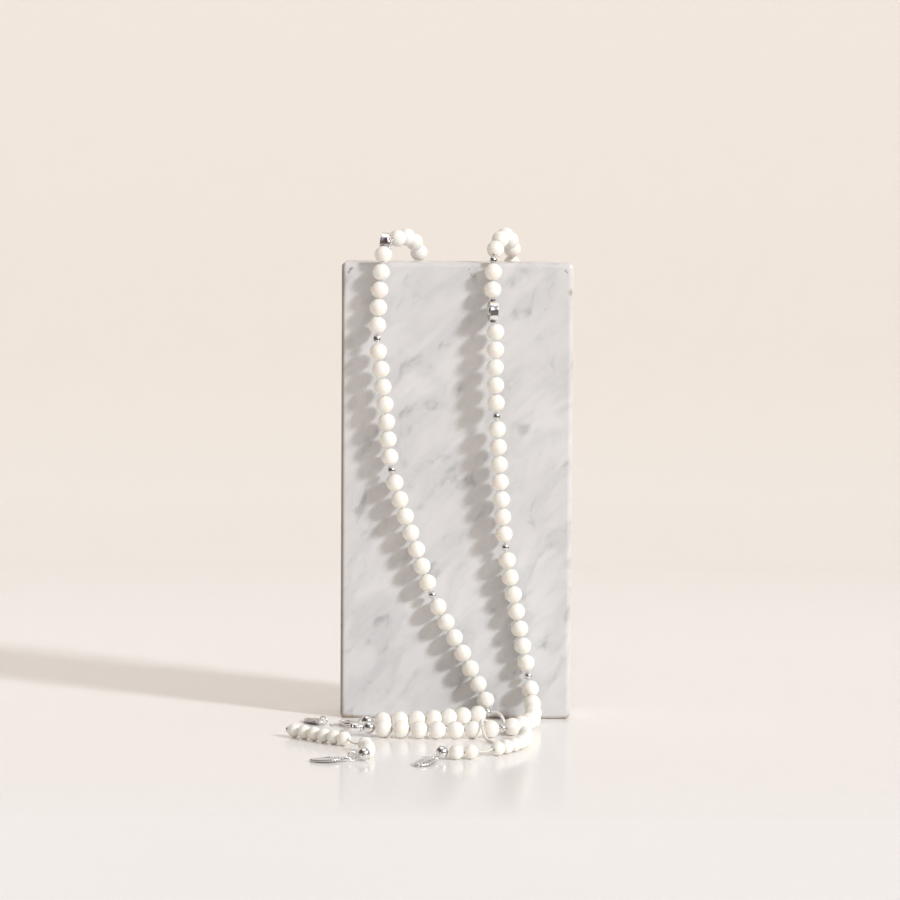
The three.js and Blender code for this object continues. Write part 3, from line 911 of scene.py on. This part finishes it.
# How far the blade's stalk end lies from the ear's middle.
BLADE_START = 1 * MM
LEAF_ROWS = 120
LEAF_COLUMNS = 41
LEAF_TIP = 0.02 * MM
LEAF_RIM = 0.62 * MM
BEADING_PITCH = 1.15 * MM
RIB_REACH = 0.3 * MM
VEIN_PITCH = 1.25 * MM
VEIN_SLANT = 0.9
SCORE_PITCH = 0.8 * MM
# Heights as shares of half the leaf's thickness.
FIELD_HEIGHT = 0.42
RIB_HEIGHT = 0.30
VEIN_HEIGHT = 0.26
SCORE_HEIGHT = 0.14


def leaf_frame(node):
    """The middle of a leaf's ear, and the leaf's length, width and thickness directions."""
    points = points_of(node)
    along, _, through = main_axes(points)
    places = (points - points.mean(axis=0)) @ along
    near_high = (places > places.max() - 2 * MM).sum()
    near_low = (places < places.min() + 2 * MM).sum()
    if near_high > near_low:
        along = -along
    through = through * math.copysign(1, through[2])
    across = np.cross(through, along)

    def midway(direction):
        spread = points @ direction
        return (spread.max() + spread.min()) / 2

    root = (points @ along).min() + EAR_OUTER
    ear = root * along + midway(across) * across + midway(through) * through
    sizes = [np.ptp(points @ direction) for direction in (along, across, through)]
    return ear, np.column_stack([along, across, through]), sizes


def leaf_relief(x, y, inward, half, textured):
    """Height of a blade's face at a place that far inward from its edge, and how deep it lies."""
    beading = 0.76 + 0.24 * math.cos(FULL_TURN * x / BEADING_PITCH) if textured else 1
    lip = LEAF_RIM * (0.86 if textured else 1)
    arch = 1 - ((inward - lip) / lip) ** 2
    rise = half * beading * math.sqrt(arch) if arch > 0 else 0
    rib = RIB_HEIGHT * half * math.exp(-(y / RIB_REACH) ** 2)
    vein = 0
    if textured:
        wave = math.cos(FULL_TURN * (x - VEIN_SLANT * abs(y)) / VEIN_PITCH)
        vein = VEIN_HEIGHT * half * wave + SCORE_HEIGHT * half * math.cos(FULL_TURN * y / SCORE_PITCH)
    height = rise if inward < lip else max(rise, half * FIELD_HEIGHT + rib + vein)
    deep = np.clip(1 - height / (0.75 * half), 0, 1) if inward > lip else 1.4 * (1 - beading)
    return min(height, half), deep


def leaf_blade(length, width, half, textured):
    """A pointed blade with a rounded, beaded rim round a sunk field, a midrib and side veins."""
    bow = ((length / 2) ** 2 + (width / 2) ** 2) / width
    rows, columns = LEAF_ROWS, LEAF_COLUMNS
    grid, depth = [], []
    for x in (1 - np.cos(np.linspace(0, math.pi, rows))) / 2 * length:
        reach = math.sqrt(bow ** 2 - (x - length / 2) ** 2) - (bow - width / 2)
        reach = max(reach, LEAF_TIP)
        for v in np.sin(np.linspace(-math.pi / 2, math.pi / 2, columns)):
            y = v * reach
            inward = min(reach - abs(y), x + LEAF_TIP, length - x + LEAF_TIP)
            height, deep = leaf_relief(x, y, inward, half, textured)
            grid.append((x, y, height))
            depth.append(deep)
    top = np.array(grid)
    low = top * (1, 1, -1)
    count = len(top)
    faces = []
    for i in range(rows - 1):
        for j in range(columns - 1):
            a = i * columns + j
            quad = (a, a + columns, a + columns + 1, a + 1)
            faces += [quad, tuple(count + k for k in reversed(quad))]
    order = np.arange(count).reshape(rows, columns)
    border = [*order[:, 0], *order[-1, 1:], *order[-2::-1, -1], *order[0, -2:0:-1]]
    for a, b in zip(border, border[1:] + border[:1]):
        faces.append((a, b, b + count, a + count))
    return shape(np.vstack([top, low]), faces, depth + depth)


def make_leaf(node, textured):
    ear, turn, (length, width, thickness) = leaf_frame(node)
    half = thickness / 2
    blade = leaf_blade(length - EAR_OUTER - BLADE_START, width, half, textured)
    middle = (EAR_OUTER + EAR_HOLE) / 2
    thick = (EAR_OUTER - EAR_HOLE) / 2
    section = [(middle + thick * math.cos(a), half * 0.8 * math.sin(a)) for a in circle(16)]
    part = joined([moved(blade, to=(BLADE_START, 0, 0)), lathe(section, 48)])
    add_piece(f"{node}_fine", moved(part, turn, ear), leaf_silver, [node])


# ---- chain ----
CHAIN_DIAMETER = 1.5 * MM
LINK_WIRE = 0.2 * MM
LINK_WIDTH = 1.36 * MM
LINK_LENGTH = 2.1 * MM
LINK_STEP = LINK_LENGTH - 2.2 * LINK_WIRE
LINK_STEPS = 28
WIRE_SIDES = 8


def chain_link():
    """An oval link along X, with its flat side across Z."""
    straight = (LINK_LENGTH - LINK_WIDTH) / 2
    middle = LINK_WIDTH / 2 - LINK_WIRE
    sides = circle(WIRE_SIDES)
    rings = []
    for a in circle(LINK_STEPS):
        x = math.copysign(straight, math.cos(a)) + middle * math.cos(a)
        out = np.array([math.cos(a), math.sin(a), 0])
        ring = np.outer(np.cos(sides), out) + np.outer(np.sin(sides), (0, 0, 1))
        rings.append(np.array([x, middle * math.sin(a), 0]) + LINK_WIRE * ring)
    return shape(np.vstack(rings), faces_between(len(rings), WIRE_SIDES, closed=True))


def make_chain():
    """Links along the CAD tube's way, each leaning the other way from the one before."""
    start = middle_of("tail_plain_ring")
    route = smooth_route(ring_centres("tail_chain", CHAIN_DIAMETER, start), 0.05 * MM)
    travelled = travelled_along(route)
    directions = directions_along(route)
    count = int((travelled[-1] - LINK_LENGTH) / LINK_STEP) + 1
    link = chain_link()
    parts = []
    for i in range(count):
        at = int(np.searchsorted(travelled, LINK_LENGTH / 2 + i * LINK_STEP))
        along = directions[at]
        lean = math.pi / 4 if i % 2 else -math.pi / 4
        side = unit(np.cross([0, 0, 1.0], along))
        up = np.cross(along, side)
        across = math.cos(lean) * side + math.sin(lean) * up
        parts.append(moved(link, np.column_stack([along, across, np.cross(along, across)]), route[at]))
    add_piece("tail_chain_fine", joined(parts), silver, ["tail_chain"])


# ---- thread ----
INNER_THREAD_RADIUS = 0.42 * MM
THREAD_PITCH = 2.6 * MM
# How far bare thread reaches into the pieces at its ends.
THREAD_INTO = 0.4 * MM


def make_inner_thread(name, stops):
    """The thread inside the beads of a string, which shows only between them."""
    route = smooth_route([stop.centre for stop in stops], 4 * MM)
    add_piece(name, round_tube(route, INNER_THREAD_RADIUS, 8), cotton)


def make_bare_thread(node, start, end):
    """Bare plied thread from one drilled piece into the next, where a CAD tube shows its way."""
    rings = ring_centres(node, THREAD_DIAMETER, start)
    into = unit(rings[0] - start) * THREAD_INTO
    out = unit(end - rings[-1]) * THREAD_INTO
    route = smooth_route([rings[0] - into, *rings, rings[-1] + out], 0.2 * MM)
    part = plied_tube(route, THREAD_DIAMETER, THREAD_PITCH)
    add_piece(f"{node}_fine", part, cotton, [node])


# ---- the block ----
BLOCK_EASE = 2.2 * MM
# The mesh is finer within the zone along each edge, where the chips are.
EDGE_ZONE = 8 * MM
EDGE_STEPS = 20
FACE_STEP = 2.5 * MM
# Chips in the block's edges, and small ones in its front face near the top corners: x, y and z as
# shares of its half sizes, then reach and depth in mm.
CHIPS = [
    (-0.93, -1.0, 0.968, 0.9, 0.3),
    (-0.916, -1.0, 0.973, 0.8, 0.25),
    (-0.942, -1.0, 0.957, 0.9, 0.2),
    (0.925, -1.0, 0.968, 0.7, 0.25),
    (0.94, -1.0, 0.961, 0.6, 0.15),
    (0.98, -1.0, 0.87, 1.7, 0.35),
    (0.78, 0.99, 1.0, 3.2, 0.7),
    (0.66, 0.99, 1.0, 2.0, 0.6),
    (0.02, 0.99, 1.0, 2.6, 0.6),
    (-0.35, 0.99, 1.0, 1.5, 0.5),
    (-1.0, -0.7, 0.4, 1.3, 0.5),
    (1.0, 0.8, -0.5, 1.8, 0.6),
    (-0.99, 0.98, 0.1, 1.6, 0.6),
]
CHIP_STEEPNESS = 0.6
# A chip's outline wavers by a share of its reach, in two waves with these radians a metre.
WAVER = 0.35
WAVER_WAVES = ((5100, 3900, 4400), (2300, -4700, 5300))


def edge_grid(half):
    """Places along one side of the block, close together near its edges and wide between."""
    near = np.linspace(0, EDGE_ZONE, EDGE_STEPS + 1)
    count = max(3, int(2 * (half - EDGE_ZONE) / FACE_STEP))
    middle = np.linspace(EDGE_ZONE - half, half - EDGE_ZONE, count)
    return np.concatenate([near[:-1] - half, middle, half - near[:-1][::-1]])


def box_grid(half):
    """Corners and faces of a box about the origin, with a grid on each of its six sides."""
    corners, faces = [], []
    count = 0
    for axis in range(3):
        a, b = (axis + 1) % 3, (axis + 2) % 3
        us, vs = edge_grid(half[a]), edge_grid(half[b])
        for way in (-1, 1):
            side = np.zeros((len(us), len(vs), 3))
            side[..., axis] = way * half[axis]
            side[..., a] = us[:, None]
            side[..., b] = vs
            corners.append(side.reshape(-1, 3))
            for i in range(len(us) - 1):
                for j in range(len(vs) - 1):
                    k = count + i * len(vs) + j
                    faces.append((k, k + 1, k + len(vs) + 1, k + len(vs)))
            count += len(us) * len(vs)
    return np.vstack(corners), faces


def make_block():
    half = (block_high - block_low) / 2
    corners, faces = box_grid(half)
    core = np.clip(corners, BLOCK_EASE - half, half - BLOCK_EASE)
    outward = corners - core
    outward /= norm(outward, axis=1)[:, None]
    rounded = core + outward * BLOCK_EASE
    edge = (1 - abs(outward).max(axis=1)) / (1 - math.sqrt(0.5))
    chipped = np.zeros(len(rounded))
    for *shares, reach, depth in CHIPS:
        away = rounded - np.array(shares) * half
        ragged = 1 + WAVER * np.sin(away @ WAVER_WAVES[0]) * np.cos(away @ WAVER_WAVES[1])
        closeness = np.clip(1 - norm(away, axis=1) / (reach * MM * ragged), 0, 1)
        rounded -= outward * (closeness ** CHIP_STEEPNESS * depth * MM)[:, None]
        chipped = np.maximum(chipped, closeness)
    rounded += (block_high + block_low) / 2
    rounded[:, 2] = np.maximum(rounded[:, 2], 0)
    add_piece("marble_block_fine", shape(rounded, faces, chipped), marble, ["marble_block"],
              {"edge": np.clip(edge, 0, 1)}, smooth_angle=60)


# ---- making it all ----
make_block()

strings = [stops_along(names, BEAD_RADIUS) for names in STRANDS]
strings += [stops_along(names, SMALL_BEAD_RADIUS) for names in COUNTERS]
made = set()
for number, stops in enumerate(strings):
    radius = BEAD_RADIUS if number < len(STRANDS) else SMALL_BEAD_RADIUS
    for node in dict.fromkeys(stop.node for stop in stops):
        here = [stop for stop in stops if stop.node == node]
        if "beads" in node:
            make_bead_run(node, here, radius)
        elif "ball" in node:
            make_ball(node, here[0])
        elif "cap" in node:
            make_cap(here[0])
        elif "coin" in node and node not in made:
            make_coin(node)
        made.add(node)

for name, stops in zip(("left", "right", "back"), strings):
    make_inner_thread(f"thread_inside_{name}", stops)
for name, stops in zip(("left", "right"), strings[len(STRANDS):]):
    for run in (1, 2):
        beads = [stop for stop in stops if stop.node == f"counter_{name}_beads_{run}"]
        make_inner_thread(f"thread_inside_counter_{name}_{run}", beads)
    thread = f"counter_{name}_thread"
    nodes = [stop.node for stop in stops]
    first = nodes.index(thread)
    after = first + nodes.count(thread)
    make_bare_thread(thread, stops[first - 1].centre, stops[after].centre)

make_bare_thread("end_thread", middle_of("end_barrel"), middle_of("end_ball_left"))
make_barrel()
for node, opening in (("tail_plain_ring", 0.5), ("tail_textured_ring", 2.2),
                      ("counter_left_ring", 1.1), ("counter_right_ring", 1.4)):
    make_jump_ring(node, opening)
make_leaf("tail_plain_leaf", textured=False)
for node in ("tail_textured_leaf", "counter_left_leaf", "counter_right_leaf"):
    make_leaf(node, textured=True)
make_chain()


# ---- floor and wall ----
FLOOR_FRONT = -6.0
FLOOR_ROWS = (-1, -0.2, 0.2)
WALL_AT = 3.4
COVE = 2.8
WALL_TOP = 5.0
HALF_WIDTH = 5.0
FLOOR_SHADE = (0.93, 0.923, 0.915)
FLOOR_PALE = (0.95, 0.943, 0.935)
# The colour that lights the object, the wall's, and the dim one that metal mirrors.
FLOOR_GLOW = (1.0, 0.96, 0.90)
FLOOR_FAR = (0.84, 0.79, 0.73)
FLOOR_DIM = (0.10, 0.085, 0.07)


def make_floor_material():
    """Pale, polished round the object and matt in front. It throws more light up at the object than
    it shows, and metal mirrors it as dim away from the object, except behind it."""
    material, tree = blank_material("floor")
    at = object_place(tree)
    patches = noise(at, 3, detail=3)
    depth = parts_of(at)["Y"]
    rays = add_node(tree, "ShaderNodeLightPath").outputs
    colour = mixed(mapped(patches, 0.3, 0.7), FLOOR_SHADE, FLOOR_PALE)
    colour = mixed(rays["Is Diffuse Ray"], colour, FLOOR_GLOW)
    colour = mixed(mapped(depth, 0.1, 1.6, smooth=True), colour, FLOOR_FAR)
    away = mapped(distance_from(at, (0, 0, 0)), 0.15, 0.22, smooth=True)
    not_behind = mapped(depth, 0.2, 0.05)
    dim = product(away, not_behind, product(rays["Is Glossy Ray"], 0.9))
    colour = mixed(dim, colour, FLOOR_DIM)
    finish_material(
        tree, Base_Color=colour, Roughness=0.13, IOR=1.45,
        Specular_IOR_Level=mapped(depth, -0.27, -0.07, 0, 0.27, smooth=True))
    return material


def make_stage():
    """A pale floor that sweeps up into a pale wall behind."""
    sweep = [
        (WALL_AT - COVE + COVE * math.sin(a), COVE - COVE * math.cos(a))
        for a in np.linspace(0, math.pi / 2, 60)
    ]
    line = [(FLOOR_FRONT, 0), *[(y, 0) for y in FLOOR_ROWS], *sweep, (WALL_AT, WALL_TOP)]
    vertices = [(x, y, z) for y, z in line for x in (-HALF_WIDTH, HALF_WIDTH)]
    faces = [(2 * i, 2 * i + 1, 2 * i + 3, 2 * i + 2) for i in range(len(line) - 1)]
    mesh = bpy.data.meshes.new("floor")
    mesh.from_pydata(vertices, [], faces)
    mesh.materials.append(make_floor_material())
    for face in mesh.polygons:
        face.use_smooth = True
    add_object("floor", mesh)


# ---- light ----
# The way that the key light shines, by x, y and z: from the right, in front and above.
KEY_WAY = (-1.40, 1.0, -0.94)
KEY_STRENGTH = 2.28
KEY_ANGLE = math.radians(8)
KEY_COLOUR = (0.95, 0.98, 1.0)
ROOM = (1.0, 0.91, 0.855, 1)
BACKDROP = (0.86, 0.78, 0.70, 1)

# What metal mirrors is a dim room, with layers over it. Columns: an axis of the direction, where
# along it the layer begins and is whole, how strong it is, if it fades in smoothly, and its colour.
DIM_ROOM = (0.10, 0.078, 0.078)
MIRRORED = [
    ("Z", 0.12, 0.3, 1, True, (0.42, 0.43, 0.47)),
    ("X", -0.05, -0.3, 1, True, DIM_ROOM),
    ("Y", 0.0, 0.7, 0.8, False, (0.34, 0.30, 0.27)),
    ("Z", 0.82, 0.94, 1, True, (1.25, 1.23, 1.2)),
]
# A mirrored window on the right. Columns: an axis, and where along it the window begins and is whole.
WINDOW_EDGES = [
    ("X", 0.34, 0.44), ("X", 0.92, 0.84),
    ("Z", 0.2, 0.28), ("Z", 0.66, 0.58),
    ("Y", 0.1, -0.05),
]
WINDOW = (2.8, 2.8, 2.85)


def make_light():
    data = bpy.data.lights.new("key", "SUN")
    data.energy = KEY_STRENGTH
    data.angle = KEY_ANGLE
    data.color = KEY_COLOUR
    key = add_object("key", data)
    turn = axes_about(unit(-np.array(KEY_WAY)))
    key.rotation_mode = "QUATERNION"
    key.rotation_quaternion = Matrix(turn.tolist()).to_quaternion()


def make_world():
    """A soft warm room, lighter above and on the right. Metal mirrors a dimmer one: dark at the
    horizon and on the left, brownish behind, grey in front and bright overhead, with a window."""
    world = bpy.data.worlds.new("room")
    bpy.context.scene.world = world
    world.use_nodes = True
    tree = world.node_tree
    tree.nodes.clear()
    towards = parts_of(add_node(tree, "ShaderNodeTexCoord").outputs["Generated"])
    above = mapped(towards["Z"], 0.05, 0.5, 0.352, 0.59, smooth=True)
    right = mapped(towards["X"], -0.6, 0.9, 0.95, 1.15, smooth=True)
    mirrored = DIM_ROOM
    for axis, start, end, strength, smooth, colour in MIRRORED:
        mirrored = mixed(mapped(towards[axis], start, end, 0, strength, smooth), mirrored, colour)
    window = product(*[mapped(towards[axis], start, end) for axis, start, end in WINDOW_EDGES])
    mirrored = mixed(window, mirrored, WINDOW)
    rays = add_node(tree, "ShaderNodeLightPath").outputs
    look = add_node(tree, "ShaderNodeBackground", Color=ROOM, Strength=product(above, right))
    for ray, colour in (("Is Glossy Ray", mirrored), ("Is Camera Ray", BACKDROP)):
        background = add_node(tree, "ShaderNodeBackground", Color=colour, Strength=1.0)
        both = add_node(tree, "ShaderNodeMixShader", Fac=rays[ray])
        tree.links.new(look.outputs[0], both.inputs[1])
        tree.links.new(background.outputs[0], both.inputs[2])
        look = both
    output = add_node(tree, "ShaderNodeOutputWorld")
    tree.links.new(look.outputs[0], output.inputs["Surface"])


make_stage()
make_light()
make_world()
bpy.context.scene.view_settings.view_transform = "Standard"
